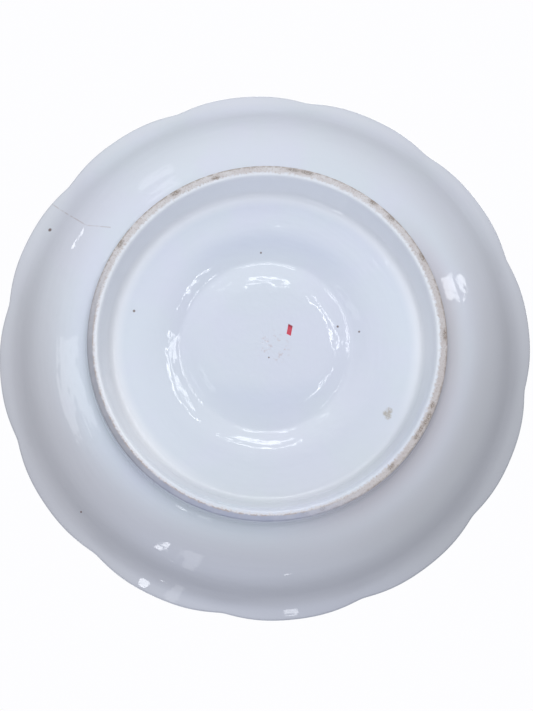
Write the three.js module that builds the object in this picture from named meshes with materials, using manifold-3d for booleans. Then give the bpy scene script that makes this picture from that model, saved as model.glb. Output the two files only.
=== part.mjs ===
// Oyster plate in glazed porcelain, standing on its foot ring.
// Millimetres, +Z up, origin on the table under the middle of the plate.
import * as THREE from 'three';
import { mergeVertices } from 'three/addons/utils/BufferGeometryUtils.js';
import Module from 'manifold-3d';

const wasm = await Module();
wasm.setup();

// Dish: overall size and walls
const PLATE_D = 240; // across the lobes of the rim
const PLATE_H = 27; // table to the top of the rim
const FLOOR_T = 4.5; // thickness of the floor
const WALL_T = 4; // thickness of the wall at its steepest
const RIM_T = 3.2; // thickness of the rounded rim edge
const STEEP_IN = 12; // from the rim edge in to the steepest part of the wall
const STEEP_DOWN = 8; // from the top of the rim down to the underside there
const STEEP_DEG = 38; // slope of the wall there
const LIP_DEG = 20; // slope of the flared lip at the rim edge
const FLOOR_EDGE_IN = 24; // from the rim edge in to where the food-side floor starts to rise

// Lobed rim
const LOBES = 12;
const LOBE_TURN_DEG = 9.4; // angle of the first notch from +X
const NOTCH_DEEP = 2.04; // depth of a notch
const NOTCH_ROUND = 0.1; // softness of a notch's bottom, 0 is a sharp corner
const NOTCH_POWER = 1.5; // how quickly a lobe falls away into its notch
const LOBE_RUN = 11; // how far in from the edge the lobes fade out

// Centre ring: a groove below, a raised ring above
const GROOVE_D = 75.2; // middle of the groove's level bottom
const GROOVE_FLAT = 1.8; // width of the level bottom
const GROOVE_SIDE_IN = 12; // width of the sloping side towards the middle of the plate
const GROOVE_SIDE_OUT = 11; // width of the sloping side towards the foot
const GROOVE_DEEP = 2.1;
const RING_W = 13; // width of the raised ring on the food side
const RING_PROUD = 0.4; // height of the raised ring over the panels beside it

// Foot ring
const FOOT_D = 153.6; // outside of the standing edge
const FOOT_EDGE = 4.4; // width of the standing edge
const RECESS_H = 14; // table to the underside of the floor
const SHOULDER_H = 10.4; // table to the underside just outside the foot
const FOOT_RING_H = 5; // height of the luted ring, up to its joint with the dish
const FOOT_DRAFT_IN = 0.25; // inward lean of the inner wall, per millimetre of height
const FOOT_DRAFT_OUT = 0.15; // outward lean of the outer wall
const FOOT_ROUND = 0.8; // rounding of the standing edge
const FOOT_FILLET_IN = 2.8; // fillet between recess and inner wall
const FOOT_FILLET_OUT = 2.6; // fillet between outer wall and shoulder
const SHOULDER_DEG = 11; // slope of the underside where it leaves the foot

// Panels with the oyster wells, side by side between the raised ring and the rim
const WELLS = 6;
const PANEL_TOP_BELOW = 1.6; // from the top of the rim down to the panels
const PANEL_ON_RING = 2; // from the middle of the raised ring out to a panel's edge
const PANEL_RIM_CLEAR = 9; // from the rim edge in to a panel's edge
const PANEL_EDGE_T = 0.6; // thickness of a panel's thin edges
const PANEL_TRIM = 1.5; // depth that is trimmed off under a panel to fit it to the dish
const WELL_MARGIN_IN = 4.5; // from a panel's inner edge to its well
const WELL_MARGIN_OUT = 4.5; // from a panel's outer edge to its well
const WELL_SPACING = 12; // between neighbouring wells at their middles
const WELL_EGG = 0.15; // how much wider a well's outer end is than its inner end
const WELL_FLOOR_T = 1.2; // thickness of a panel under its well
const WELL_BEAD = 0.8; // height of the bead round a well's lip
const JOINT_GAP = 0.3; // slip joint between a panel and its neighbours

// Fineness of the facets
const SEGMENTS_PER_LOBE = 6;
const FOOT_SEGMENTS = 72;
const PANEL_SIDE_SEGMENTS = 8;
const CURVE_STEPS = 4;
const FILLET_STEPS = 2;
const WELD_TOLERANCE = 1e-4;

const PORCELAIN = new THREE.Color(0.83, 0.85, 0.9);
const BISCUIT = new THREE.Color(0.78, 0.72, 0.68);

const { degToRad, lerp, smoothstep } = THREE.MathUtils;
const plateR = PLATE_D / 2;
const footR = FOOT_D / 2;
const grooveR = GROOVE_D / 2;
const floorTop = RECESS_H + FLOOR_T;
const panelTop = PLATE_H - PANEL_TOP_BELOW;
const lobeTurn = degToRad(LOBE_TURN_DEG);

// Radius of the foot's inner and outer wall at a height above the table
const footInnerAt = (height) => footR - FOOT_EDGE - FOOT_DRAFT_IN * height;
const footOuterAt = (height) => footR + FOOT_DRAFT_OUT * height;

// Point reached from a start by going a length along a slope
function along(start, degrees, length) {
  const angle = degToRad(degrees);
  return new THREE.Vector2(start.x + Math.cos(angle) * length, start.y + Math.sin(angle) * length);
}

// S-shaped stretch between two points that both run level
function levelEase(path, x, y) {
  const middle = (path.currentPoint.x + x) / 2;
  path.bezierCurveTo(middle, path.currentPoint.y, middle, y, x, y);
}

// Smooth stretch between two points that leaves and arrives along given slopes
function slopeEase(path, startDegrees, endDegrees, end) {
  const start = path.currentPoint.clone();
  const reach = (end.x - start.x) / 3;
  const first = along(start, startDegrees, reach / Math.cos(degToRad(startDegrees)));
  const second = along(end, endDegrees, -reach / Math.cos(degToRad(endDegrees)));
  path.bezierCurveTo(first.x, first.y, second.x, second.y, end.x, end.y);
}

// Points of a path, without doubled ones
function profilePoints(path) {
  const points = path.curves.flatMap((curve) => {
    if (curve.isLineCurve) return curve.getPoints(1);
    if (curve.isCubicBezierCurve) return curve.getPoints(CURVE_STEPS);
    return curve.getPoints(FILLET_STEPS);
  });
  return points.filter((point, i) => i === 0 || point.distanceTo(points[i - 1]) > WELD_TOLERANCE);
}

// Middle of the rounded rim edge, and the wall's steepest points below and above
const rimMiddle = new THREE.Vector2(plateR - RIM_T / 2, PLATE_H - RIM_T / 2);
const lipBelow = along(rimMiddle, LIP_DEG - 90, RIM_T / 2);
const lipAbove = along(rimMiddle, LIP_DEG + 90, RIM_T / 2);
const steepBelow = new THREE.Vector2(plateR - STEEP_IN, PLATE_H - STEEP_DOWN);
const steepAbove = along(steepBelow, STEEP_DEG + 90, WALL_T);

// Underside of the dish, from the axis out to the rim edge
function undersidePath() {
  const path = new THREE.Path();
  path.moveTo(0, RECESS_H);
  const grooveIn = grooveR - GROOVE_FLAT / 2;
  const grooveOut = grooveR + GROOVE_FLAT / 2;
  path.lineTo(grooveIn - GROOVE_SIDE_IN, RECESS_H);
  levelEase(path, grooveIn, RECESS_H + GROOVE_DEEP);
  path.lineTo(grooveOut, RECESS_H + GROOVE_DEEP);
  levelEase(path, grooveOut + GROOVE_SIDE_OUT, RECESS_H);
  path.lineTo(footInnerAt(RECESS_H) - FOOT_FILLET_IN, RECESS_H);
  const innerWallTop = RECESS_H - FOOT_FILLET_IN;
  path.quadraticCurveTo(footInnerAt(RECESS_H), RECESS_H, footInnerAt(innerWallTop), innerWallTop);
  path.lineTo(footInnerAt(FOOT_RING_H), FOOT_RING_H);
  path.lineTo(footOuterAt(FOOT_RING_H), FOOT_RING_H);
  const outerWallTop = SHOULDER_H - FOOT_FILLET_OUT;
  path.lineTo(footOuterAt(outerWallTop), outerWallTop);
  const corner = new THREE.Vector2(footOuterAt(SHOULDER_H), SHOULDER_H);
  const shoulder = along(corner, SHOULDER_DEG, FOOT_FILLET_OUT);
  path.quadraticCurveTo(corner.x, corner.y, shoulder.x, shoulder.y);
  slopeEase(path, SHOULDER_DEG, STEEP_DEG, steepBelow);
  slopeEase(path, STEEP_DEG, LIP_DEG, lipBelow);
  const lipAngle = degToRad(LIP_DEG);
  path.absarc(rimMiddle.x, rimMiddle.y, RIM_T / 2, lipAngle - Math.PI / 2, 0);
  path.absarc(rimMiddle.x, rimMiddle.y, RIM_T / 2, 0, Math.PI / 2);
  path.absarc(rimMiddle.x, rimMiddle.y, RIM_T / 2, Math.PI / 2, lipAngle + Math.PI / 2);
  return path;
}

// Food side of the dish, from the rim edge in to the axis
function foodSidePath() {
  const path = new THREE.Path();
  path.moveTo(lipAbove.x, lipAbove.y);
  slopeEase(path, LIP_DEG, STEEP_DEG, steepAbove);
  slopeEase(path, STEEP_DEG, 0, new THREE.Vector2(plateR - FLOOR_EDGE_IN, floorTop));
  path.lineTo(grooveR + RING_W / 2, floorTop);
  levelEase(path, grooveR, panelTop + RING_PROUD);
  levelEase(path, grooveR - RING_W / 2, floorTop);
  path.lineTo(0, floorTop);
  return path;
}

// Closed body from a turned profile: shared points are merged and empty triangles dropped
function weld(geometry) {
  geometry.deleteAttribute('normal');
  geometry.deleteAttribute('uv');
  const welded = mergeVertices(geometry, WELD_TOLERANCE);
  const corners = Array.from(welded.index.array);
  const kept = [];
  for (let i = 0; i < corners.length; i += 3) {
    const [a, b, c] = corners.slice(i, i + 3);
    if (a !== b && b !== c && c !== a) kept.push(a, b, c);
  }
  welded.setIndex(kept);
  welded.computeVertexNormals();
  return welded;
}

// Turn a profile about +Z from an angle, with each point moved by a rule if one is given
function turned(points, segments, startAngle, move) {
  const geometry = new THREE.LatheGeometry(points, segments, startAngle + Math.PI / 2);
  geometry.rotateX(Math.PI / 2);
  if (move) {
    const position = geometry.attributes.position;
    const point = new THREE.Vector3();
    for (let i = 0; i < position.count; i += 1) {
      move(point.fromBufferAttribute(position, i));
      position.setXYZ(i, point.x, point.y, point.z);
    }
  }
  return weld(geometry);
}

// Depth that the outline falls in at an angle, greatest at the notches between lobes
function notchDepth(angle) {
  const swing = Math.hypot(Math.sin((LOBES / 2) * (angle - lobeTurn)), NOTCH_ROUND);
  return NOTCH_DEEP * Math.max(0, 1 - swing) ** NOTCH_POWER;
}

// Share of the notches that shows at a radius
const lobeFade = (radius) => smoothstep(radius, plateR - LOBE_RUN, plateR - RIM_T / 2);

// Draw the rim in at the notches
function lobe(point) {
  const radius = Math.hypot(point.x, point.y);
  const fade = lobeFade(radius);
  if (fade === 0) return;
  const scale = 1 - (notchDepth(Math.atan2(point.y, point.x)) * fade) / radius;
  point.x *= scale;
  point.y *= scale;
}

function dishGeometry() {
  const points = profilePoints(undersidePath()).concat(profilePoints(foodSidePath()).slice(1));
  return turned(points, LOBES * SEGMENTS_PER_LOBE, lobeTurn, lobe);
}

function footGeometry() {
  const path = new THREE.Path();
  path.moveTo(footInnerAt(FOOT_RING_H), FOOT_RING_H);
  path.lineTo(footInnerAt(FOOT_ROUND), FOOT_ROUND);
  path.quadraticCurveTo(footInnerAt(0), 0, footInnerAt(0) + FOOT_ROUND, 0);
  path.lineTo(footOuterAt(0) - FOOT_ROUND, 0);
  path.quadraticCurveTo(footOuterAt(0), 0, footOuterAt(FOOT_ROUND), FOOT_ROUND);
  path.lineTo(footOuterAt(FOOT_RING_H), FOOT_RING_H);
  path.lineTo(footInnerAt(FOOT_RING_H), FOOT_RING_H);
  return turned(profilePoints(path), FOOT_SEGMENTS, lobeTurn);
}

// Height of the food side of the dish at a radius, before the lobes draw it in
const foodSide = profilePoints(foodSidePath());
function foodSideAt(radius) {
  const i = foodSide.findIndex((point) => point.x <= radius);
  const inner = foodSide[i];
  const outer = foodSide[Math.max(i - 1, 0)];
  if (outer.x === inner.x) return inner.y;
  return lerp(inner.y, outer.y, (radius - inner.x) / (outer.x - inner.x));
}

// Height of a panel's seat: the food side of the dish with its lobes, and the slip joint on it
function seatAt(x, y) {
  const radius = Math.hypot(x, y);
  const depth = notchDepth(Math.atan2(y, x));
  let before = radius;
  for (let pass = 0; pass < 3; pass += 1) before = radius + depth * lobeFade(before);
  return foodSideAt(before) + JOINT_GAP;
}

// Room for the panels and their wells
const panelInner = grooveR + PANEL_ON_RING;
const panelOuter = plateR - PANEL_RIM_CLEAR;
const wellInner = panelInner + WELL_MARGIN_IN;
const wellOuter = panelOuter - WELL_MARGIN_OUT;
const wellMiddle = (wellInner + wellOuter) / 2;
const wellHalfLength = (wellOuter - wellInner) / 2;
const wellHalfWidth = wellMiddle * Math.sin(Math.PI / WELLS) - WELL_SPACING / 2;
const wellFloor = floorTop + JOINT_GAP + WELL_FLOOR_T;

// Rings of points on a panel, as shares of the way from the well's middle to the panel's outline
const FLOOR_SHARE = 0.5;
const LIP_SHARE = 0.8;
const BEAD_SHARE = 0.92;
const SEAT_SHARES = [0, FLOOR_SHARE, LIP_SHARE, 0.9, 1];
const TOP_SHARES = [1, BEAD_SHARE, 0.86, LIP_SHARE, 0.76, 0.7, 0.63, 0.56, FLOOR_SHARE, 0];
const SEAT_LAYER = 0;
const TOP_LAYER = 1;

// Point on a panel's outline: outer arc, joint, inner arc, joint, as turn goes from 0 to 1.
// Along the joints the points lie closer near the ends, where the dish curves most.
function panelOutline(turn) {
  const side = Math.min(Math.floor(turn * 4), 3);
  const share = turn * 4 - side;
  const eased = (1 - Math.cos(Math.PI * share)) / 2;
  const inward = lerp(panelOuter, panelInner, eased);
  const outward = lerp(panelInner, panelOuter, eased);
  const radius = [panelOuter, inward, panelInner, outward][side];
  const half = Math.PI / WELLS - Math.asin(JOINT_GAP / 2 / radius);
  const angle = half * [2 * share - 1, 1, 1 - 2 * share, -1][side];
  return new THREE.Vector2(radius * Math.cos(angle), radius * Math.sin(angle));
}

// Point on the egg-shaped lip of a well, in the direction of a point outside it
function wellLip(outside) {
  const angle = Math.atan2(outside.y / wellHalfWidth, (outside.x - wellMiddle) / wellHalfLength);
  const width = wellHalfWidth * (1 + WELL_EGG * Math.cos(angle));
  return new THREE.Vector2(wellMiddle + wellHalfLength * Math.cos(angle), width * Math.sin(angle));
}

// Height of a panel's upper face: well floor, well side, bead and level margin
function panelFace(share) {
  if (share > LIP_SHARE) return panelTop + WELL_BEAD * (1 - smoothstep(share, LIP_SHARE, BEAD_SHARE));
  return lerp(wellFloor, panelTop + WELL_BEAD, smoothstep(share, FLOOR_SHARE, LIP_SHARE));
}

function toSolid(geometry) {
  const vertProperties = new Float32Array(geometry.attributes.position.array);
  const triVerts = new Uint32Array(geometry.index.array);
  return new wasm.Manifold(new wasm.Mesh({ numProp: 3, vertProperties, triVerts }));
}

function toGeometry(solid) {
  const mesh = solid.getMesh();
  const geometry = new THREE.BufferGeometry();
  geometry.setAttribute('position', new THREE.BufferAttribute(mesh.vertProperties, mesh.numProp));
  geometry.setIndex(new THREE.BufferAttribute(mesh.triVerts, 1));
  geometry.computeVertexNormals();
  return geometry;
}

// Trim a panel's underside to the dish, with the slip joint between them
function fitted(panel, dish) {
  const raised = dish.clone().translate(0, 0, JOINT_GAP);
  return toGeometry(toSolid(panel).subtract(toSolid(raised)));
}

// A panel is turned as a flat disc of two layers, then drawn out to its outline on the dish
function panelGeometry(facing) {
  const seatLayer = SEAT_SHARES.map((share) => new THREE.Vector2(share, SEAT_LAYER));
  const topLayer = TOP_SHARES.map((share) => new THREE.Vector2(share, TOP_LAYER));
  const firstCorner = -Math.PI / 4;
  const middle = new THREE.Vector2(wellMiddle, 0);
  const axis = new THREE.Vector2();
  return turned(seatLayer.concat(topLayer), 4 * PANEL_SIDE_SEGMENTS, firstCorner, (point) => {
    const share = Math.hypot(point.x, point.y);
    const round = (Math.atan2(point.y, point.x) - firstCorner) / (2 * Math.PI);
    const edge = panelOutline(THREE.MathUtils.euclideanModulo(round, 1));
    const lip = wellLip(edge);
    const place = share < LIP_SHARE
      ? middle.clone().lerp(lip, share / LIP_SHARE)
      : lip.lerp(edge, (share - LIP_SHARE) / (1 - LIP_SHARE));
    place.rotateAround(axis, facing);
    const seat = seatAt(place.x, place.y);
    const onTop = point.z > (SEAT_LAYER + TOP_LAYER) / 2;
    const face = Math.max(panelFace(share), seat + PANEL_EDGE_T);
    point.set(place.x, place.y, onTop ? face : seat - PANEL_TRIM);
  });
}

const glaze = () => new THREE.MeshStandardMaterial({ color: PORCELAIN, roughness: 0.12, metalness: 0 });
const bare = () => new THREE.MeshStandardMaterial({ color: BISCUIT, roughness: 0.7, metalness: 0 });

function named(name, geometry, material) {
  const mesh = new THREE.Mesh(geometry, material);
  mesh.name = name;
  return mesh;
}

const plate = new THREE.Group();
const dish = dishGeometry();
plate.add(named('dish_body', dish, glaze()));
plate.add(named('foot_ring', footGeometry(), bare()));

for (let i = 0; i < WELLS; i += 1) {
  const facing = lobeTurn + (i * 2 * Math.PI) / WELLS;
  plate.add(named(`oyster_well_${i + 1}`, fitted(panelGeometry(facing), dish), glaze()));
}

export default plate;
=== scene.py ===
# Oyster plate in glazed porcelain. It stands on its foot ring, and the camera looks up from below.
import math

import bmesh
import bpy
from mathutils import Matrix, Vector


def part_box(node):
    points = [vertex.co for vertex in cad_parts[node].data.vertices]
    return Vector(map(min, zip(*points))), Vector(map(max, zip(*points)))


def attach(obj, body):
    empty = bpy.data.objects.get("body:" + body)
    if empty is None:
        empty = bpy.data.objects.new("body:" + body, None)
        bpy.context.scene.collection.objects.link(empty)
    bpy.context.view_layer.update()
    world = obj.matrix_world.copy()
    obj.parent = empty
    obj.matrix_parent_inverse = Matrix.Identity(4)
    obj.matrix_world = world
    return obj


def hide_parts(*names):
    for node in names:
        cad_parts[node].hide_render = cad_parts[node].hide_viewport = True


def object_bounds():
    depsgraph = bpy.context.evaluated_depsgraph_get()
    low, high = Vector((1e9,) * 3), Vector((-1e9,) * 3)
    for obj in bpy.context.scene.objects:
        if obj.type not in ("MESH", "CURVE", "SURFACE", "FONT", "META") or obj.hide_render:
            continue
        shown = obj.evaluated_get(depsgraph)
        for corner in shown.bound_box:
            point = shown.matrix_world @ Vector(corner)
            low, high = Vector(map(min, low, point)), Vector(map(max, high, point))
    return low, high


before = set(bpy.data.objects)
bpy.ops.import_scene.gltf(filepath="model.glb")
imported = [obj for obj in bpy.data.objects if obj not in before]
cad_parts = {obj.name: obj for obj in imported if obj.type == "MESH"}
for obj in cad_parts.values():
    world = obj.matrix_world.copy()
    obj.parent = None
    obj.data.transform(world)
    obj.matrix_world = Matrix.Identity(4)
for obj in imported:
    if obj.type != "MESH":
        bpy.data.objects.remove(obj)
cad_low, cad_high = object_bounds()

# Dish body: one disc of porcelain clay turned on a mould, with the ogee wall, the lobed rim, the
# round groove in its floor and the stub of the foot. It is dipped in clear glaze and fired glossy.
TINY = 1e-6
rim_clear = 0.0002
dish_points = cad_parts["dish_body"].data.vertices
plate_r = max(point.co.xy.length for point in dish_points) - rim_clear
plate_h = cad_high.z
rim_t = 0.0032
steep_in = 0.012
steep_down = 0.008
steep_deg = 38
lip_deg = 20
wall_t = 0.004
floor_t = 0.0045
floor_edge_in = 0.024
recess_h = 0.014
groove_r = 0.0376
groove_flat = 0.0004
groove_side_in = 0.013
groove_fade_in = 0.0068
groove_bend_in = 0.0022
groove_side_out = 0.015
groove_fade_out = 0.007
groove_bend_out = 0.0016
groove_deep = 0.0024
middle_rise = 0.001
ring_w = 0.013
ring_top = 0.0258
foot_r = 0.0768
foot_edge = 0.0044
foot_ring_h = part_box("foot_ring")[1].z
foot_draft_in = 0.25
foot_draft_out = 0.15
foot_fillet_in = 0.0028
foot_fillet_out = 0.0026
shoulder_h = 0.0104
shoulder_deg = 11
lobe_run = 0.011
crease_deg = 35
lobe_rule = {
    "Lobes": 12,
    "Lobe turn": math.radians(9.4),
    "Notch depth": 0.00204,
    "Notch softness": 0.1,
    "Notch power": 1.5,
    "Lobe fade start": plate_r - lobe_run,
    "Lobe fade end": plate_r - rim_t / 2,
}


class Profile:
    """Half section of a turned piece: Bezier knots of radius and height with their two handles."""

    def __init__(self, x, z):
        start = Vector((x, z))
        self.knots = [[start, start, start, "FREE", "FREE"]]

    def here(self):
        return self.knots[-1][1]

    def curve_to(self, first, second, end, handle="FREE"):
        self.knots[-1][2] = first
        self.knots[-1][4] = handle
        self.knots.append([second, end, end, handle, "FREE"])

    def line_to(self, x, z):
        end = Vector((x, z))
        self.curve_to(self.here().lerp(end, 1 / 3), self.here().lerp(end, 2 / 3), end, "VECTOR")

    def ease_to(self, x, z):
        """S-shaped stretch that leaves and arrives level."""
        middle = (self.here().x + x) / 2
        self.curve_to(Vector((middle, self.here().y)), Vector((middle, z)), Vector((x, z)))

    def slope_to(self, start_deg, end_deg, end):
        """Smooth stretch that leaves and arrives along given slopes."""
        reach = (end.x - self.here().x) / 3
        first = self.here() + reach * Vector((1, math.tan(math.radians(start_deg))))
        second = end - reach * Vector((1, math.tan(math.radians(end_deg))))
        self.curve_to(first, second, end)

    def round_to(self, corner, end):
        """Fillet that rounds off a corner."""
        self.curve_to(self.here().lerp(corner, 2 / 3), end.lerp(corner, 2 / 3), end)

    def arc_to(self, centre, start_deg, end_deg):
        """Arc round a centre that starts at the last knot."""
        radius = (self.here() - centre).length
        reach = 4 / 3 * math.tan(math.radians(end_deg - start_deg) / 4) * radius
        end = centre + radius * heading(end_deg)
        first = self.here() + reach * heading(start_deg + 90)
        self.curve_to(first, end - reach * heading(end_deg + 90), end)

    def as_curve(self, name, steps):
        """Blender curve of the section in the XZ plane, with some steps between the knots."""
        curve = bpy.data.curves.new(name, "CURVE")
        curve.dimensions = "3D"
        curve.resolution_u = steps
        spline = curve.splines.new("BEZIER")
        spline.bezier_points.add(len(self.knots) - 1)
        for point, (left, knot, right, left_kind, right_kind) in zip(spline.bezier_points, self.knots):
            point.handle_left_type = left_kind
            point.handle_right_type = right_kind
            point.co = (knot.x, 0, knot.y)
            point.handle_left = (left.x, 0, left.y)
            point.handle_right = (right.x, 0, right.y)
        return curve


def heading(degrees):
    """Unit step in a section, 0 outwards and 90 up."""
    angle = math.radians(degrees)
    return Vector((math.cos(angle), math.sin(angle)))


class Field:
    """A number that varies over a piece, so that a rule reads as a formula."""

    def __init__(self, socket):
        self.socket = socket
        self.tree = socket.id_data

    def maths(self, operation, *others):
        made = self.tree.nodes.new("ShaderNodeMath")
        made.operation = operation
        for place, value in zip(made.inputs, (self, *others)):
            feed(place, value)
        return Field(made.outputs[0])

    def __add__(self, other):
        return self.maths("ADD", other)

    def __sub__(self, other):
        return self.maths("SUBTRACT", other)

    def __rsub__(self, other):
        return self.maths("MULTIPLY_ADD", -1, other)

    def __mul__(self, other):
        return self.maths("MULTIPLY", other)

    def __truediv__(self, other):
        return self.maths("DIVIDE", other)

    def __pow__(self, other):
        return self.maths("POWER", other)

    def hypot(self, other):
        return (self * self + other * other).maths("SQRT")

    def ease(self, low, high):
        """0 below low, 1 above high, and a smooth step between."""
        made = self.tree.nodes.new("ShaderNodeMapRange")
        made.interpolation_type = "SMOOTHSTEP"
        for place, value in zip(made.inputs, (self, low, high)):
            feed(place, value)
        return Field(made.outputs[0])


def feed(place, value):
    """Links a socket or a field to an input, or sets the input to a plain value."""
    if isinstance(value, Field):
        value = value.socket
    if isinstance(value, bpy.types.NodeSocket):
        value.id_data.links.new(value, place)
    elif value is not None:
        place.default_value = value


def add(tree, kind, *values, **settings):
    """Adds a node, sets its settings, feeds its inputs in order and gives its first output."""
    made = tree.nodes.new(kind)
    for name, value in settings.items():
        setattr(made, name, value)
    for place, value in zip([place for place in made.inputs if place.enabled], values):
        feed(place, value)
    return made.outputs[0]


def start_tree(name, sizes):
    """Geometry Nodes tree with an input for each size: gives it, its start shape and its sizes."""
    tree = bpy.data.node_groups.new(name, "GeometryNodeTree")
    tree.interface.new_socket("Geometry", in_out="OUTPUT", socket_type="NodeSocketGeometry")
    tree.interface.new_socket("Geometry", in_out="INPUT", socket_type="NodeSocketGeometry")
    kinds = {int: "NodeSocketInt", float: "NodeSocketFloat", bpy.types.Material: "NodeSocketMaterial"}
    for label, value in sizes.items():
        tree.interface.new_socket(label, in_out="INPUT", socket_type=kinds[type(value)])
    entry = tree.nodes.new("NodeGroupInput")
    fields = {label: Field(entry.outputs[label]) for label in sizes}
    return tree, entry.outputs["Geometry"], fields


def end_tree(tree, shape, material):
    """Welds the shape, smooths it and gives it its material."""
    welded = add(tree, "GeometryNodeMergeByDistance", shape, True, TINY)
    smooth = add(tree, "GeometryNodeSetShadeSmooth", welded, True, True)
    coated = add(tree, "GeometryNodeSetMaterial", smooth, True, material)
    feed(tree.nodes.new("NodeGroupOutput").inputs[0], coated)


def grid_place(tree, rows, columns):
    """Grid of points with the row and the column of each point."""
    grid = add(tree, "GeometryNodeMeshGrid", 1.0, 1.0, rows, columns)
    index = Field(add(tree, "GeometryNodeInputIndex"))
    row = (index / columns + TINY).maths("FLOOR")
    return grid, row, index - row * columns


def parts_of(vector):
    """The X, Y and Z of a vector socket."""
    split = add(vector.id_data, "ShaderNodeSeparateXYZ", vector).node
    return tuple(Field(part) for part in split.outputs)


def section_at(tree, section, row):
    """Radius and height of a section's point with the given number."""
    place = add(tree, "GeometryNodeInputPosition")
    spot = add(tree, "GeometryNodeSampleIndex", section, place, row, data_type="FLOAT_VECTOR")
    x, _, z = parts_of(spot)
    return x, z


def lobed(radius, angle, sizes):
    """Radius drawn in towards the notches between the lobes, near the rim only."""
    wave = (angle * sizes["Lobes"] * 0.5).maths("SINE").hypot(sizes["Notch softness"])
    depth = (1 - wave).maths("MAXIMUM", 0.0) ** sizes["Notch power"] * sizes["Notch depth"]
    return radius - depth * radius.ease(sizes["Lobe fade start"], sizes["Lobe fade end"])


def put_round(tree, grid, radius, angle, height):
    """Sets each grid point at its radius, angle and height."""
    x = radius * angle.maths("COSINE")
    y = radius * angle.maths("SINE")
    spot = add(tree, "ShaderNodeCombineXYZ", x, y, height)
    return add(tree, "GeometryNodeSetPosition", grid, True, spot)


def turned_tree(sizes):
    """Tree that turns a section about the axis, with the lobes of the rim."""
    tree, section, size = start_tree("turned_body", sizes)
    points = add(tree, "GeometryNodeCurveToPoints", section, mode="EVALUATED")
    count = tree.nodes.new("GeometryNodeAttributeDomainSize")
    count.component = "POINTCLOUD"
    feed(count.inputs[0], points)
    grid, row, column = grid_place(tree, Field(count.outputs["Point Count"]), size["Segments"] + 1.0)
    radius, height = section_at(tree, points, row)
    angle = column / size["Segments"] * math.tau
    radius = lobed(radius, angle, size)
    shape = put_round(tree, grid, radius, angle + size["Lobe turn"], height)
    end_tree(tree, shape, size["Material"])
    return tree


def shaped(name, section, tree, sizes):
    """Runs a tree on a section with the given sizes, and keeps the result as a plain closed mesh."""
    worker = bpy.data.objects.new(name + "_section", section)
    bpy.context.scene.collection.objects.link(worker)
    modifier = worker.modifiers.new("shape", "NODES")
    modifier.node_group = tree
    for item in tree.interface.items_tree:
        if item.name in sizes:
            modifier[item.identifier] = sizes[item.name]
    mesh = bpy.data.meshes.new_from_object(worker.evaluated_get(bpy.context.evaluated_depsgraph_get()))
    bpy.data.objects.remove(worker)
    shell = bmesh.new()
    shell.from_mesh(mesh)
    bmesh.ops.recalc_face_normals(shell, faces=shell.faces)
    shell.to_mesh(mesh)
    shell.free()
    mesh.set_sharp_from_angle(angle=math.radians(crease_deg))
    mesh.name = name
    piece = bpy.data.objects.new(name, mesh)
    bpy.context.scene.collection.objects.link(piece)
    return piece


def painted(share, under, over):
    """Colour that goes from under to over as the share goes from 0 to 1."""
    return add(share.tree, "ShaderNodeMix", share, under, over, data_type="RGBA").node.outputs[2]


def noise(place, scale, detail=2.0):
    """Cloudy pattern from 0 to 1, with a number of waves to the metre."""
    return Field(add(place.id_data, "ShaderNodeTexNoise", place, scale, detail))


glaze_index = 1.5
glaze_tints = ((0.79, 0.81, 0.9, 1), (0.78, 0.825, 0.88, 1))
cloud_waves = 34.0
polish_waves = 90.0
dimple_waves = 140.0
swell_waves = 40.0
turning_lines = 330.0
turning_breaks = 5.0
ripple_strength = 0.25
ripple_height = 0.0004


def glaze(name):
    """Clear glaze on white porcelain: cool, faintly clouded, glossy, with ripples from the turning."""
    material = bpy.data.materials.new(name)
    material.use_nodes = True
    tree = material.node_tree
    shader = tree.nodes["Principled BSDF"]
    shader.inputs["IOR"].default_value = glaze_index
    place = tree.nodes.new("ShaderNodeTexCoord").outputs["Object"]
    colour = painted(noise(place, cloud_waves).ease(0.35, 0.65), *glaze_tints)
    polish = noise(place, polish_waves, 3.0) * 0.03 + 0.03
    x, y, _ = parts_of(place)
    radius = x.hypot(y) + TINY
    turn_x = x / radius * turning_breaks
    turn_y = y / radius * turning_breaks
    round_about = add(tree, "ShaderNodeCombineXYZ", turn_x, turn_y, radius * turning_lines)
    rings = noise(round_about, 1.0, 1.0)
    ripple = noise(place, dimple_waves, 1.0) + noise(place, swell_waves, 0.0) * 1.5 + rings * 0.8
    bump = add(tree, "ShaderNodeBump", ripple_strength, ripple_height)
    feed(bump.node.inputs["Height"], ripple)
    feed(shader.inputs["Roughness"], polish)
    feed(shader.inputs["Normal"], bump)
    return material, place, colour, polish, shader


def blob(x, y, spot, size, core=0.4):
    """Soft round mark, 1 in its middle, as seen along the axis."""
    return 1 - (x - spot[0]).hypot(y - spot[1]).ease(size * core, size)


def most(marks):
    """The strongest of some marks at each point."""
    strongest, *others = marks
    for mark in others:
        strongest = strongest.maths("MAXIMUM", mark)
    return strongest


def clock_spot(clock_deg, distance):
    """Point at a clock angle in the picture and a distance from the axis."""
    angle = math.radians(90 + clock_deg)
    return distance * math.cos(angle), distance * math.sin(angle)


def hairline(x, y, start, end, width, core=0.3):
    """Thin straight mark between two points, as seen along the axis."""
    run = Vector(end) - Vector(start)
    from_x = x - start[0]
    from_y = y - start[1]
    share = (from_x * run.x + from_y * run.y) / run.length_squared
    share = share.maths("MAXIMUM", 0.0).maths("MINIMUM", 1.0)
    return 1 - (from_x - share * run.x).hypot(from_y - share * run.y).ease(width * core, width)


def leaning(x, y, clock_deg):
    """From -1 to 1 across the plate, towards a clock angle in the picture."""
    out_x, out_y = clock_spot(clock_deg, 1 / plate_r)
    return x * out_x + y * out_y


def foot_inside_light(x, y):
    """Share of painted light that makes the inside of the foot paler, but not on one side."""
    inside = 1 - x.hypot(y).ease(*foot_middle)
    less_lit_side = leaning(x, y, 160).ease(0.15, 0.5) * 0.9
    return inside * (1 - less_lit_side)


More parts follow.
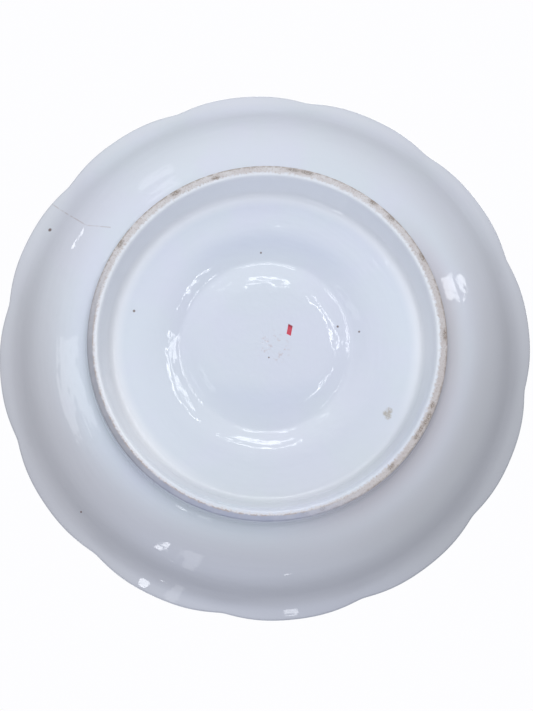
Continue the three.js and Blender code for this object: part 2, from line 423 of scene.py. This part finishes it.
# Radii between which a look of the underside sets in or fades out
recess_fade = (0.05, 0.068)
turn_start = (0.062, 0.068)
foot_middle = (0.073, 0.075)
corner_start = (0.076, 0.0775)
corner_fade = (0.08, 0.09)
wall_start = (0.08, 0.1)
trough_start = (0.099, 0.107)
trough_fade = (0.111, 0.116)
lip_start = (0.112, 0.117)

# Painted light inside the foot and painted shade in the corner outside it, for dish and foot
painted_light_white = (0.95, 0.96, 0.99, 1)
corner_shade_grey = (0.63, 0.59, 0.61, 1)
dish_glaze, place, colour, _, shader = glaze("dish_glaze")
x, y, _ = parts_of(place)
radius = x.hypot(y)
facing = parts_of(place.node.outputs["Normal"])[2]
below = 1 - facing.ease(-0.25, -0.05)

# Painted shade: the underside greyer towards one side, and the thin wall outside the foot greyer
shade_grey = (0.7, 0.715, 0.72, 1)
wall_shade_grey = (0.645, 0.642, 0.685, 1)
shade = leaning(x, y, 158)
wall = radius.ease(*wall_start) * (noise(place, 25.0) * 0.4 + 0.8)
colour = painted(shade.ease(0.0, 1.0) * below * 0.6, colour, shade_grey)
colour = painted(wall * (shade * 0.6 + 0.8), colour, wall_shade_grey)

# Painted shade of some sides: where, clock angle, start and end across the plate, share and colour
outer = wall * below
trough = radius.ease(*trough_start) * (1 - radius.ease(*trough_fade))
corner = radius.ease(*corner_start) * (1 - radius.ease(*corner_fade)) * below
side_shade_casts = (
    (outer, 158, -0.2, 0.7, 1.0, (0.54, 0.54, 0.562, 1)),
    (outer, 200, 0.4, 0.9, 0.6, (0.63, 0.635, 0.71, 1)),
    (outer, 247, 0.6, 0.95, 0.4, (0.42, 0.41, 0.425, 1)),
    (trough, 182, -0.6, 0.3, 0.5, (0.48, 0.475, 0.505, 1)),
    (outer, 262, 0.4, 0.9, 0.35, (0.7, 0.68, 0.69, 1)),
    (corner, 110, 0.2, 0.6, 0.75, corner_shade_grey),
)
for where, clock_deg, start, end, share, tint in side_shade_casts:
    colour = painted(where * leaning(x, y, clock_deg).ease(start, end) * share, colour, tint)

# Painted shade: faint blue-grey on the floor. Painted light: pale lip, paler turn inside the foot
floor_shade_blue = (0.66, 0.68, 0.77, 1)
lip_light_white = (0.8, 0.8, 0.83, 1)
recess = (1 - radius.ease(*recess_fade)) * below
colour = painted(recess * 0.25, colour, floor_shade_blue)
lip = radius.ease(*lip_start) * below
lip_light_share = leaning(x, y, 345) * 0.2 + leaning(x, y, 203).ease(0.8, 1.0) * 0.3 + 0.2
colour = painted(lip * lip_light_share, colour, lip_light_white)
foot_turn = radius.ease(*turn_start) * below
colour = painted(foot_inside_light(x, y) * foot_turn, colour, painted_light_white)


def groove_shade(low, high, clock_deg):
    """Share of painted shade in a ring, on the side of a clock angle."""
    middle = (low + high) / 2
    ring = radius.ease(low, middle) * (1 - radius.ease(middle, high))
    return ring * (leaning(x, y, clock_deg) * (plate_r / middle)).ease(0.5, 1.0)


# Painted shade: bluer grey on the groove's two flanks that face away from the light
groove_shade_blue = (0.64, 0.68, 0.8, 1)
groove_shading = groove_shade(0.038, 0.056, 3) * 0.5 + groove_shade(0.012, 0.036, 178) * 0.4
colour = painted(groove_shading * below, colour, groove_shade_blue)

# Dark specks fired into the glaze: place and size
speck_brown = (0.16, 0.09, 0.07, 1)
specks = (
    ((0.0985, 0.0533), 0.0011),
    ((0.0805, -0.0731), 0.0006),
    ((0.0588, 0.0145), 0.0008),
    ((0.0028, 0.0416), 0.0006),
    ((-0.0408, 0.0059), 0.0006),
    ((-0.0313, 0.0082), 0.0007),
    ((-0.0007, -0.0059), 0.0005),
)
dots = most([blob(x, y, spot, size) for spot, size in specks])
colour = painted(dots * below * 0.85, colour, speck_brown)

# Stained hairline crack that runs in from the rim
crack_brown = (0.38, 0.24, 0.18, 1)
crack_width = 0.0004
crack = ((0.0986, 0.0664), (0.0869, 0.0575), (0.0809, 0.0533), (0.0699, 0.0519))
line = most([hairline(x, y, start, end, crack_width) for start, end in zip(crack, crack[1:])])
crack_share = noise(place, 300.0).ease(0.3, 0.6) * 0.32
colour = painted(line * below * crack_share, colour, crack_brown)

# Tan smudge near the foot, and faint residue in the middle
smudge_tan = (0.42, 0.35, 0.25, 1)
smudge_size = 0.002
smudge_spots = ((-0.0532, -0.0294), (-0.052, -0.0305), (-0.0527, -0.0318))
smudge = most([blob(x, y, spot, smudge_size) for spot in smudge_spots])
smudge_share = noise(place, 900.0).ease(0.4, 0.6) * 0.4 + 0.3
colour = painted(smudge * below * smudge_share, colour, smudge_tan)
residue_pink = (0.55, 0.38, 0.34, 1)
residue_spot = (-0.003, -0.001)
residue_size = 0.009
residue = blob(x, y, residue_spot, residue_size) * noise(place, 520.0, 5.0).ease(0.52, 0.72)
colour = painted(residue * below * 0.5, colour, residue_pink)

# Plain dab of red enamel, darker at its upper end
enamel_red = (0.68, 0.03, 0.07, 1)
enamel_dark = (0.34, 0.008, 0.03, 1)
dab_spot = (-0.0099, 0.0065)
dab_lean = 0.19
dab_slant = 0.5
dab_long = (0.0022, 0.0027)
dab_wide = (0.0009, 0.0012)
dab_dark = (0.001, 0.002)
from_x = x - dab_spot[0]
from_y = y - dab_spot[1]
along = from_y - from_x * dab_slant
across = (from_x + from_y * dab_lean).maths("ABSOLUTE")
dab = (1 - along.maths("ABSOLUTE").ease(*dab_long)) * (1 - across.ease(*dab_wide))
enamel = painted(along.ease(*dab_dark), enamel_red, enamel_dark)
colour = painted(dab * below * (noise(place, 400.0) * 0.25 + 0.85), colour, enamel)
feed(shader.inputs["Base Color"], colour)

floor_top = recess_h + floor_t
rim_middle = Vector((plate_r - rim_t / 2, plate_h - rim_t / 2))
lip_below = rim_middle + rim_t / 2 * heading(lip_deg - 90)
lip_above = rim_middle + rim_t / 2 * heading(lip_deg + 90)
steep_below = Vector((plate_r - steep_in, plate_h - steep_down))
steep_above = steep_below + wall_t * heading(steep_deg + 90)


def foot_inner(height):
    """Radius of the foot's inner wall at a height."""
    return foot_r - foot_edge - foot_draft_in * height


def foot_outer(height):
    """Radius of the foot's outer wall at a height."""
    return foot_r + foot_draft_out * height


middle_h = recess_h + middle_rise
dish = Profile(0, middle_h)
groove_in = Vector((groove_r - groove_flat / 2, recess_h + groove_deep))
groove_out = Vector((groove_r + groove_flat / 2, recess_h + groove_deep))
dish.line_to(groove_in.x - groove_side_in, middle_h)
fade_in = Vector((groove_in.x - groove_fade_in, middle_h))
dish.curve_to(fade_in, groove_in - Vector((groove_bend_in, 0)), groove_in)
dish.line_to(*groove_out)
fade_out = Vector((groove_out.x + groove_fade_out, recess_h))
groove_end = Vector((groove_out.x + groove_side_out, recess_h))
dish.curve_to(groove_out + Vector((groove_bend_out, 0)), fade_out, groove_end)
dish.line_to(foot_inner(recess_h) - foot_fillet_in, recess_h)
inner_top = recess_h - foot_fillet_in
dish.round_to(Vector((foot_inner(recess_h), recess_h)), Vector((foot_inner(inner_top), inner_top)))
dish.line_to(foot_inner(foot_ring_h), foot_ring_h)
dish.line_to(foot_outer(foot_ring_h), foot_ring_h)
outer_top = shoulder_h - foot_fillet_out
dish.line_to(foot_outer(outer_top), outer_top)
foot_corner = Vector((foot_outer(shoulder_h), shoulder_h))
dish.round_to(foot_corner, foot_corner + foot_fillet_out * heading(shoulder_deg))
dish.slope_to(shoulder_deg, steep_deg, steep_below)
dish.slope_to(steep_deg, lip_deg, lip_below)
dish.arc_to(rim_middle, lip_deg - 90, 0)
dish.arc_to(rim_middle, 0, 90)
dish.arc_to(rim_middle, 90, lip_deg + 90)
dish.slope_to(lip_deg, steep_deg, steep_above)
dish.slope_to(steep_deg, 0, Vector((plate_r - floor_edge_in, floor_top)))
dish.line_to(groove_r + ring_w / 2, floor_top)
dish.ease_to(groove_r, ring_top)
dish.ease_to(groove_r - ring_w / 2, floor_top)
dish.line_to(0, floor_top)

dish_sizes = {**lobe_rule, "Segments": 480, "Material": dish_glaze}
body_tree = turned_tree(dish_sizes)
dish_curve = dish.as_curve("dish_section", steps=12)
dish_body = shaped("dish_body_porcelain", dish_curve, body_tree, dish_sizes)
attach(dish_body, "root")
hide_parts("dish_body")

# Foot ring: a turned ring of the same clay, luted under the stub of the dish with slip. Its
# standing edge is wiped free of glaze before firing, and has worn and taken up dirt since.
foot_round = 0.0008
foot_roll = 0.0014

# Height and radii between which a look of the foot sets in or fades out
standing_top = (0.0007, 0.001)
strip_start = (foot_r - 0.0038, foot_r - 0.0024)
shade_band_start = (foot_r - 0.0028, foot_r - 0.0019)
edge_start = (foot_r - 0.0011, foot_r - 0.0003)
outside_start = (foot_r - 0.0008, foot_r + 0.0002)

foot_skin, place, colour, polish, shader = glaze("foot_skin")
x, y, z = parts_of(place)
radius = x.hypot(y)

# Painted light inside the foot, painted shade of the corner outside it on one side, as on the dish
shaded_side = leaning(x, y, 110).ease(0.2, 0.6)
outside = radius.ease(*outside_start)
colour = painted(foot_inside_light(x, y), colour, painted_light_white)
colour = painted(outside * shaded_side * 0.37, colour, corner_shade_grey)

# Bare strip: pinkish biscuit with a granular surface, between ragged lines of glaze
biscuit_tints = ((0.785, 0.75, 0.74, 1), (0.71, 0.655, 0.635, 1))
grain_brown = (0.42, 0.33, 0.28, 1)
edge_brown = (0.33, 0.26, 0.21, 1)
strip_shade_brown = (0.48, 0.4, 0.36, 1)
ragged_width = 0.0028
ragged = (noise(place, 700.0, 4.0) - 0.5) * ragged_width
standing = 1 - (z + ragged * 0.2).ease(*standing_top)
bare = (radius + ragged).ease(*strip_start) * standing
biscuit = painted(noise(place, 260.0, 3.0).ease(0.3, 0.7), *biscuit_tints)
grain = noise(place, 1400.0, 3.0).ease(0.52, 0.64)
biscuit = painted(grain * 0.35, biscuit, grain_brown)
edge = (radius + ragged * 0.4).ease(*edge_start)
edge_dirt = edge * noise(place, 420.0, 4.0).ease(0.36, 0.58)
biscuit = painted(edge_dirt * 0.6, biscuit, edge_brown)
# Painted shade: the strip darker and browner on the same side as the corner's shade
biscuit = painted(shaded_side * 0.35, biscuit, strip_shade_brown)

# Brown stains of the strip: clock angle in the picture, radius and length
stains = (
    (112.2, 0.0752, 0.0024),
    (116.0, 0.0755, 0.0035),
    (118.4, 0.0753, 0.0026),
    (120.8, 0.0750, 0.0026),
    (123.6, 0.0751, 0.0022),
    (136.5, 0.0749, 0.0026),
    (162.4, 0.0753, 0.0022),
    (168.5, 0.0753, 0.0030),
    (302.9, 0.0757, 0.0032),
    (327.9, 0.0756, 0.0036),
    (342.1, 0.0746, 0.0026),
    (8.5, 0.0757, 0.0040),
    (13.0, 0.0757, 0.0045),
    (37.0, 0.0757, 0.0028),
    (45.0, 0.0757, 0.0030),
    (61.6, 0.0759, 0.0034),
    (88.5, 0.0757, 0.0040),
)


def smear(clock_deg, distance, length, width=0.0013, core=0.3):
    """Mark drawn out along the strip, as seen along the axis."""
    out_x, out_y = clock_spot(clock_deg, 1)
    across = (x * out_x + y * out_y - distance) / width
    along = (y * out_x - x * out_y) / length
    return 1 - along.hypot(across).ease(core, 1.0)


stain_brown = (0.2, 0.13, 0.075, 1)
stained = most([smear(*stain) for stain in stains])
specked = noise(place, 1900.0, 3.0).ease(0.42, 0.56)
biscuit = painted(stained * (specked * 0.5 + 0.22), biscuit, stain_brown)

# Side where the strip is cleaner, and a band of painted shade greys the outer half of the edge
shade_band_tints = ((0.37, 0.37, 0.41, 1), (0.41, 0.43, 0.54, 1))
band_edge_brown = (0.45, 0.33, 0.26, 1)
clean_white = (0.86, 0.84, 0.86, 1)
clean_and_shaded_side = leaning(x, y, 222).ease(0.1, 0.5)
shade_band_edge = (radius + ragged * 0.4).ease(*shade_band_start)
shade_band = shade_band_edge * clean_and_shaded_side * standing
shade_band_share = noise(place, 200.0) * 0.5 + 0.65
shade_band_grey = painted(leaning(x, y, 180).ease(0.35, 0.62), *shade_band_tints)
band_brown_line = shade_band * (1 - shade_band_edge) * noise(place, 300.0, 3.0).ease(0.4, 0.6) * 2.6
biscuit = painted(clean_and_shaded_side * 0.5, biscuit, clean_white)
colour = painted(bare, colour, biscuit)
colour = painted(shade_band * shade_band_share, colour, shade_band_grey)
colour = painted(band_brown_line, colour, band_edge_brown)
feed(shader.inputs["Base Color"], colour)
feed(shader.inputs["Roughness"], polish + bare * 0.7)

foot = Profile(foot_inner(foot_ring_h), foot_ring_h)
roll_top = foot_ring_h - 2 * foot_roll
roll_end = foot_inner(roll_top) + foot_roll
roll_start = Vector((foot_inner(roll_top), roll_top))
roll_corner = Vector((foot_inner(roll_top), 0))
foot.curve_to(roll_start, roll_corner, Vector((roll_end, 0)))
foot.line_to(foot_outer(0) - foot_round, 0)
foot.round_to(Vector((foot_outer(0), 0)), Vector((foot_outer(foot_round), foot_round)))
foot.line_to(foot_outer(foot_ring_h), foot_ring_h)
foot.line_to(foot_inner(foot_ring_h), foot_ring_h)
foot_sizes = {**dish_sizes, "Notch depth": 0.0, "Material": foot_skin}
foot_curve = foot.as_curve("foot_section", steps=8)
foot_ring = shaped("foot_ring_porcelain", foot_curve, body_tree, foot_sizes)
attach(foot_ring, "root")
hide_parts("foot_ring")

# Oyster wells: six panels pressed in moulds, each with one well like a half shell, luted side by
# side between the raised ring and the rim. Slip fills their joints, and the glaze runs over them.
well_nodes = sorted(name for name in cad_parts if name.startswith("oyster_well"))
panel_drop = 0.0016
panel_clear_ring = 0.002
panel_clear_rim = 0.009
panel_top = plate_h - panel_drop
panel_inner = groove_r + panel_clear_ring
panel_outer = plate_r - panel_clear_rim
well_margin = 0.0045
well_spacing = 0.012
well_floor_t = 0.0015
hinge_in = 0.014
well_inner = panel_inner + well_margin
well_outer = panel_outer - well_margin
well_middle = (well_inner + well_outer) / 2
wells_glaze, _, colour, _, shader = glaze("wells_glaze")
feed(shader.inputs["Base Color"], colour)
well_sizes = {
    **lobe_rule,
    "Wells": len(well_nodes),
    "Top rows": 120,
    "Underside rows": 12,
    "Columns": 100,
    "Panel top": panel_top,
    "Well middle": well_middle,
    "Well half length": (well_outer - well_inner) / 2,
    "Well half width": well_middle * math.sin(math.pi / len(well_nodes)) - well_spacing / 2,
    "Well egg": 0.15,
    "Well floor": floor_top + well_floor_t,
    "Bead": 0.0008,
    "Shell ribs": 34.0,
    "Rib height": 0.0003,
    "Hinge": well_inner - hinge_in,
    "Joint depth": 0.0003,
    "Joint width": 0.0012,
    "Blend": 0.0012,
    "Tuck": 0.0001,
    "Sink": 0.0003,
    "Material": wells_glaze,
}


def well_face(radius, angle, edge, size):
    """Height of a panel: well floor, ribbed side, bead, level margin and soft joint at its edge."""
    x = radius * angle.maths("COSINE")
    y = radius * angle.maths("SINE")
    along = (x - size["Well middle"]) / size["Well half length"]
    across = y / size["Well half width"]
    far = along.hypot(across) + TINY
    # 0 in the middle of the well and 1 on its lip
    egg = along.hypot(across / (along / far * size["Well egg"] + 1.0))
    lip = size["Panel top"] + size["Bead"]
    side = (lip - size["Well floor"]) * egg.ease(0.5, 1.0)
    face = size["Well floor"] + side - size["Bead"] * egg.ease(1.0, 1.2)
    fan = y.maths("ARCTAN2", x - size["Hinge"])
    ribs = (fan * size["Shell ribs"]).maths("COSINE") * size["Rib height"]
    face = face + ribs * egg.ease(0.3, 0.7) * (1 - egg.ease(0.8, 1.0))
    return face - size["Joint depth"] * (1 - edge.ease(0.0, size["Joint width"]))


def wells_tree(sizes):
    """Tree that shapes one panel on the dish and sets copies of it side by side."""
    tree, seat, size = start_tree("oyster_panels", sizes)
    rows, below, columns = size["Top rows"], size["Underside rows"], size["Columns"]
    section = add(tree, "GeometryNodeResampleCurve", seat, True, rows)
    points = add(tree, "GeometryNodeCurveToPoints", section, mode="EVALUATED")
    grid, step, column = grid_place(tree, rows + below + 1.0, columns + 1.0)
    under = step.maths("GREATER_THAN", rows - 0.5) * step.maths("LESS_THAN", rows + below - 0.5)
    back = (rows - 1.0) * (1 - (step - rows) / (below - 1.0))
    row = step * step.maths("LESS_THAN", rows - 0.5) + under * back
    radius, height = section_at(tree, points, row.maths("ROUND"))
    share = column / columns - 0.5
    angle = share * math.tau / size["Wells"]
    radius = lobed(radius, angle, size)
    edge = radius * (0.5 - share.maths("ABSOLUTE")) * math.tau / size["Wells"]
    face = well_face(radius, angle, edge, size)
    upper = face.maths("SMOOTH_MAX", height - size["Tuck"], size["Blend"])
    level = upper + under * (height - size["Sink"] - upper)
    panel = put_round(tree, grid, radius, angle, level)
    spots = add(tree, "GeometryNodePoints", size["Wells"])
    turn = Field(add(tree, "GeometryNodeInputIndex")) * math.tau / size["Wells"] + size["Lobe turn"]
    about_axis = add(tree, "ShaderNodeCombineXYZ", 0.0, 0.0, turn)
    facing = add(tree, "FunctionNodeEulerToRotation", about_axis)
    copies = add(tree, "GeometryNodeInstanceOnPoints", spots, True, panel, False, None, facing)
    end_tree(tree, add(tree, "GeometryNodeRealizeInstances", copies), size["Material"])
    return tree


seat = Profile(groove_r, ring_top)
seat.ease_to(groove_r + ring_w / 2, floor_top)
seat.line_to(plate_r - floor_edge_in, floor_top)
seat.slope_to(0, steep_deg, steep_above)
seat.slope_to(steep_deg, lip_deg, lip_above)
panels_tree = wells_tree(well_sizes)
seat_curve = seat.as_curve("seat", steps=24)
oyster_wells = shaped("oyster_wells_porcelain", seat_curve, panels_tree, well_sizes)
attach(oyster_wells, "root")
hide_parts(*well_nodes)

# Floor: a plain pale sheet under the foot, which fades into the white backdrop further out. It
# shows from above only, so that the camera below sees the plate against white, and it holds back
# no light.
floor_grey = (0.82, 0.82, 0.83, 1)
floor_rough = 0.9
floor_reach = 6.0
floor_fade = (0.15, 1.3)
floor_drop = 0.0003
backdrop_white = (0.985, 0.985, 1.0, 1)
floor_mesh = bpy.data.meshes.new("floor")
sides = ((-1, -1), (1, -1), (1, 1), (-1, 1))
corners = [(x * floor_reach, y * floor_reach, -floor_drop) for x, y in sides]
floor_mesh.from_pydata(corners, [], [(0, 1, 2, 3)])
floor = bpy.data.objects.new("floor", floor_mesh)
bpy.context.scene.collection.objects.link(floor)
floor.visible_diffuse = False
floor.visible_glossy = False
floor.visible_transmission = False
floor.visible_shadow = False
pale = bpy.data.materials.new("pale_floor")
pale.use_nodes = True
tree = pale.node_tree
sheet = tree.nodes["Principled BSDF"]
sheet.inputs["Base Color"].default_value = floor_grey
sheet.inputs["Roughness"].default_value = floor_rough
x, y, _ = parts_of(tree.nodes.new("ShaderNodeTexCoord").outputs["Object"])
far = x.hypot(y).ease(*floor_fade)
haze = add(tree, "ShaderNodeEmission", backdrop_white, 1.0)
top_side = add(tree, "ShaderNodeMixShader", far, sheet.outputs[0], haze)
underside = tree.nodes.new("ShaderNodeNewGeometry").outputs["Backfacing"]
clear = add(tree, "ShaderNodeBsdfTransparent")
shown = add(tree, "ShaderNodeMixShader", underside, top_side, clear)
tree.links.new(shown, tree.nodes["Material Output"].inputs["Surface"])
floor_mesh.materials.append(pale)

# Light: a bright room. Soft daylight falls in, most of it from the top of the picture. Windows,
# curtains, tubes and small lamps stand round the plate and show in its glaze, and two soft lamps
# above light the food side.
def clock_way(clock_deg, tilt_deg, side=-1):
    """Way from the plate towards a clock angle in the picture, tilted off the axis."""
    x, y = clock_spot(clock_deg, math.sin(math.radians(tilt_deg)))
    return Vector((x, y, side * math.cos(math.radians(tilt_deg))))


world = bpy.data.worlds.new("room")
bpy.context.scene.world = world
world.use_nodes = True
tree = world.node_tree
x, y, z = parts_of(tree.nodes.new("ShaderNodeTexCoord").outputs["Generated"])


def daylight(clock_deg, tilt_deg, power):
    """Soft patch of brightness round a way into the room."""
    way = clock_way(clock_deg, tilt_deg)
    return (x * way.x + y * way.y + z * way.z).maths("MAXIMUM", 0.0) ** power


# Patches of daylight: colour, clock angle, tilt off the axis, tightness and strength
patches = (
    ((0.95, 0.98, 1.0, 1), -4, 37, 6.0, 1.8),
    ((1.0, 0.95, 0.93, 1), 70, 50, 4.0, 0.1),
    ((0.78, 0.85, 1.0, 1), 185, 45, 4.0, 0.88),
)
wall_tint = (0.88, 0.92, 1.0, 1)
walls = z.ease(0.3, 0.8) * 0.8 + 0.2
room = add(tree, "ShaderNodeBackground", wall_tint, walls)
for tint, clock_deg, tilt_deg, power, strength in patches:
    brightness = daylight(clock_deg, tilt_deg, power) * strength
    patch = add(tree, "ShaderNodeBackground", tint, brightness)
    room = add(tree, "ShaderNodeAddShader", room, patch)
backdrop = add(tree, "ShaderNodeBackground", backdrop_white, 1.0)
seen = tree.nodes.new("ShaderNodeLightPath").outputs["Is Camera Ray"]
shown = add(tree, "ShaderNodeMixShader", seen, room, backdrop)
tree.links.new(shown, tree.nodes["World Output"].inputs["Surface"])
bpy.context.scene.view_settings.view_transform = "Standard"

lamp_tint = (0.95, 0.97, 1.0)


def lamp(name, way, along, distance, width, height, brightness):
    """Flat bright rectangle that faces the plate, with its width along a given way."""
    light = bpy.data.lights.new(name, "AREA")
    light.shape = "RECTANGLE"
    light.size = width
    light.size_y = height
    light.energy = brightness * math.pi * width * height
    light.color = lamp_tint
    holder = bpy.data.objects.new(name, light)
    tangent = (along - along.dot(way) * way).normalized()
    turn = Matrix((tangent, way.cross(tangent), way)).transposed()
    holder.matrix_world = Matrix.Translation(way * distance) @ turn.to_4x4()
    holder.visible_camera = False
    bpy.context.scene.collection.objects.link(holder)


def strip(name, start, end, count, height, brightness):
    """Row of bright panes between two ways into the room, each a clock angle and a tilt."""
    first = clock_way(*start)
    last = clock_way(*end)
    width = pane_share * strip_distance * (last - first).length / count
    for number in range(count):
        way = first.lerp(last, (number + 0.5) / count).normalized()
        lamp(f"{name}_{number}", way, last - first, strip_distance, width, height, brightness)


# Strips round the plate: name, clock angle and tilt of both ends, panes, height and brightness
strip_distance = 1.3
pane_share = 0.85
strips = (
    ("top_tube", (348, 23.5), (20, 21.7), 1, 0.028, 9),
    ("top_window", (351, 28.5), (17, 28), 4, 0.06, 7),
    ("right_tube", (23, 21.5), (75, 22.8), 1, 0.028, 9),
    ("right_window", (32, 27), (70, 25.5), 6, 0.055, 6),
    ("far_right_window", (57, 37), (63, 37), 2, 0.09, 6.5),
    ("lower_right_tube", (82, 20), (121, 13.7), 1, 0.022, 10),
    ("bottom_window", (171, 48), (174, 48), 1, 0.05, 5.5),
    ("lower_left_window", (211.5, 35), (211.5, 51), 2, 0.032, 9),
    ("lower_left_lamp", (205, 58), (207, 58), 1, 0.02, 12),
    ("lower_left_curtain", (204, 30), (201, 66), 1, 0.09, 1.5),
    ("left_tube", (248, 15.6), (280, 20), 1, 0.05, 1.2),
    ("left_curtain", (256, 32), (292, 32), 1, 0.12, 1.8),
    ("left_window", (307, 50), (313, 50), 2, 0.06, 8),
    ("upper_left_lamp", (331, 30), (340, 31), 2, 0.02, 4),
    ("upper_left_curtain", (330, 41), (340, 41), 1, 0.1, 1.5),
)
for row in strips:
    strip(*row)

# Lamps above the plate: name, clock angle, tilt, width, height and brightness
above_distance = 1.4
lamps_above = (
    ("lamp_above", 20, 35, 1.2, 0.9, 1.8),
    ("fill_above", 215, 55, 0.6, 0.5, 1.5),
)
for name, clock_deg, tilt_deg, width, height, brightness in lamps_above:
    way = clock_way(clock_deg, tilt_deg, 1)
    lamp(name, way, Vector((-way.y, way.x, 0)), above_distance, width, height, brightness)

# Camera: below the plate and a little towards the picture's foot, as the photograph was taken. It
# is turned so that the rim's centre lies where the photograph has it.
frame_px = (533, 711)
camera_spot = Vector((0.010, -0.070, -0.409))
rim_centre = Vector((0, 0, plate_h - rim_t / 2))
rim_centre_px = (266.7, 348)
focal_px = 974
sensor_mm = 36
lens = bpy.data.cameras.new("camera")
lens.sensor_width = sensor_mm
lens.lens = focal_px / max(frame_px) * sensor_mm
lens.clip_start = 0.01
camera = bpy.data.objects.new("camera", lens)
bpy.context.scene.collection.objects.link(camera)
ahead = (rim_centre - camera_spot).normalized()
right = ahead.cross(Vector((0, 1, 0))).normalized()
up = right.cross(ahead)
across_px = rim_centre_px[0] - frame_px[0] / 2
down_px = rim_centre_px[1] - frame_px[1] / 2
aim = (focal_px * ahead - across_px * right + down_px * up).normalized()
right = aim.cross(Vector((0, 1, 0))).normalized()
up = right.cross(aim)
turn = Matrix((right, up, -aim)).transposed()
camera.matrix_world = Matrix.Translation(camera_spot) @ turn.to_4x4()
bpy.context.scene.camera = camera
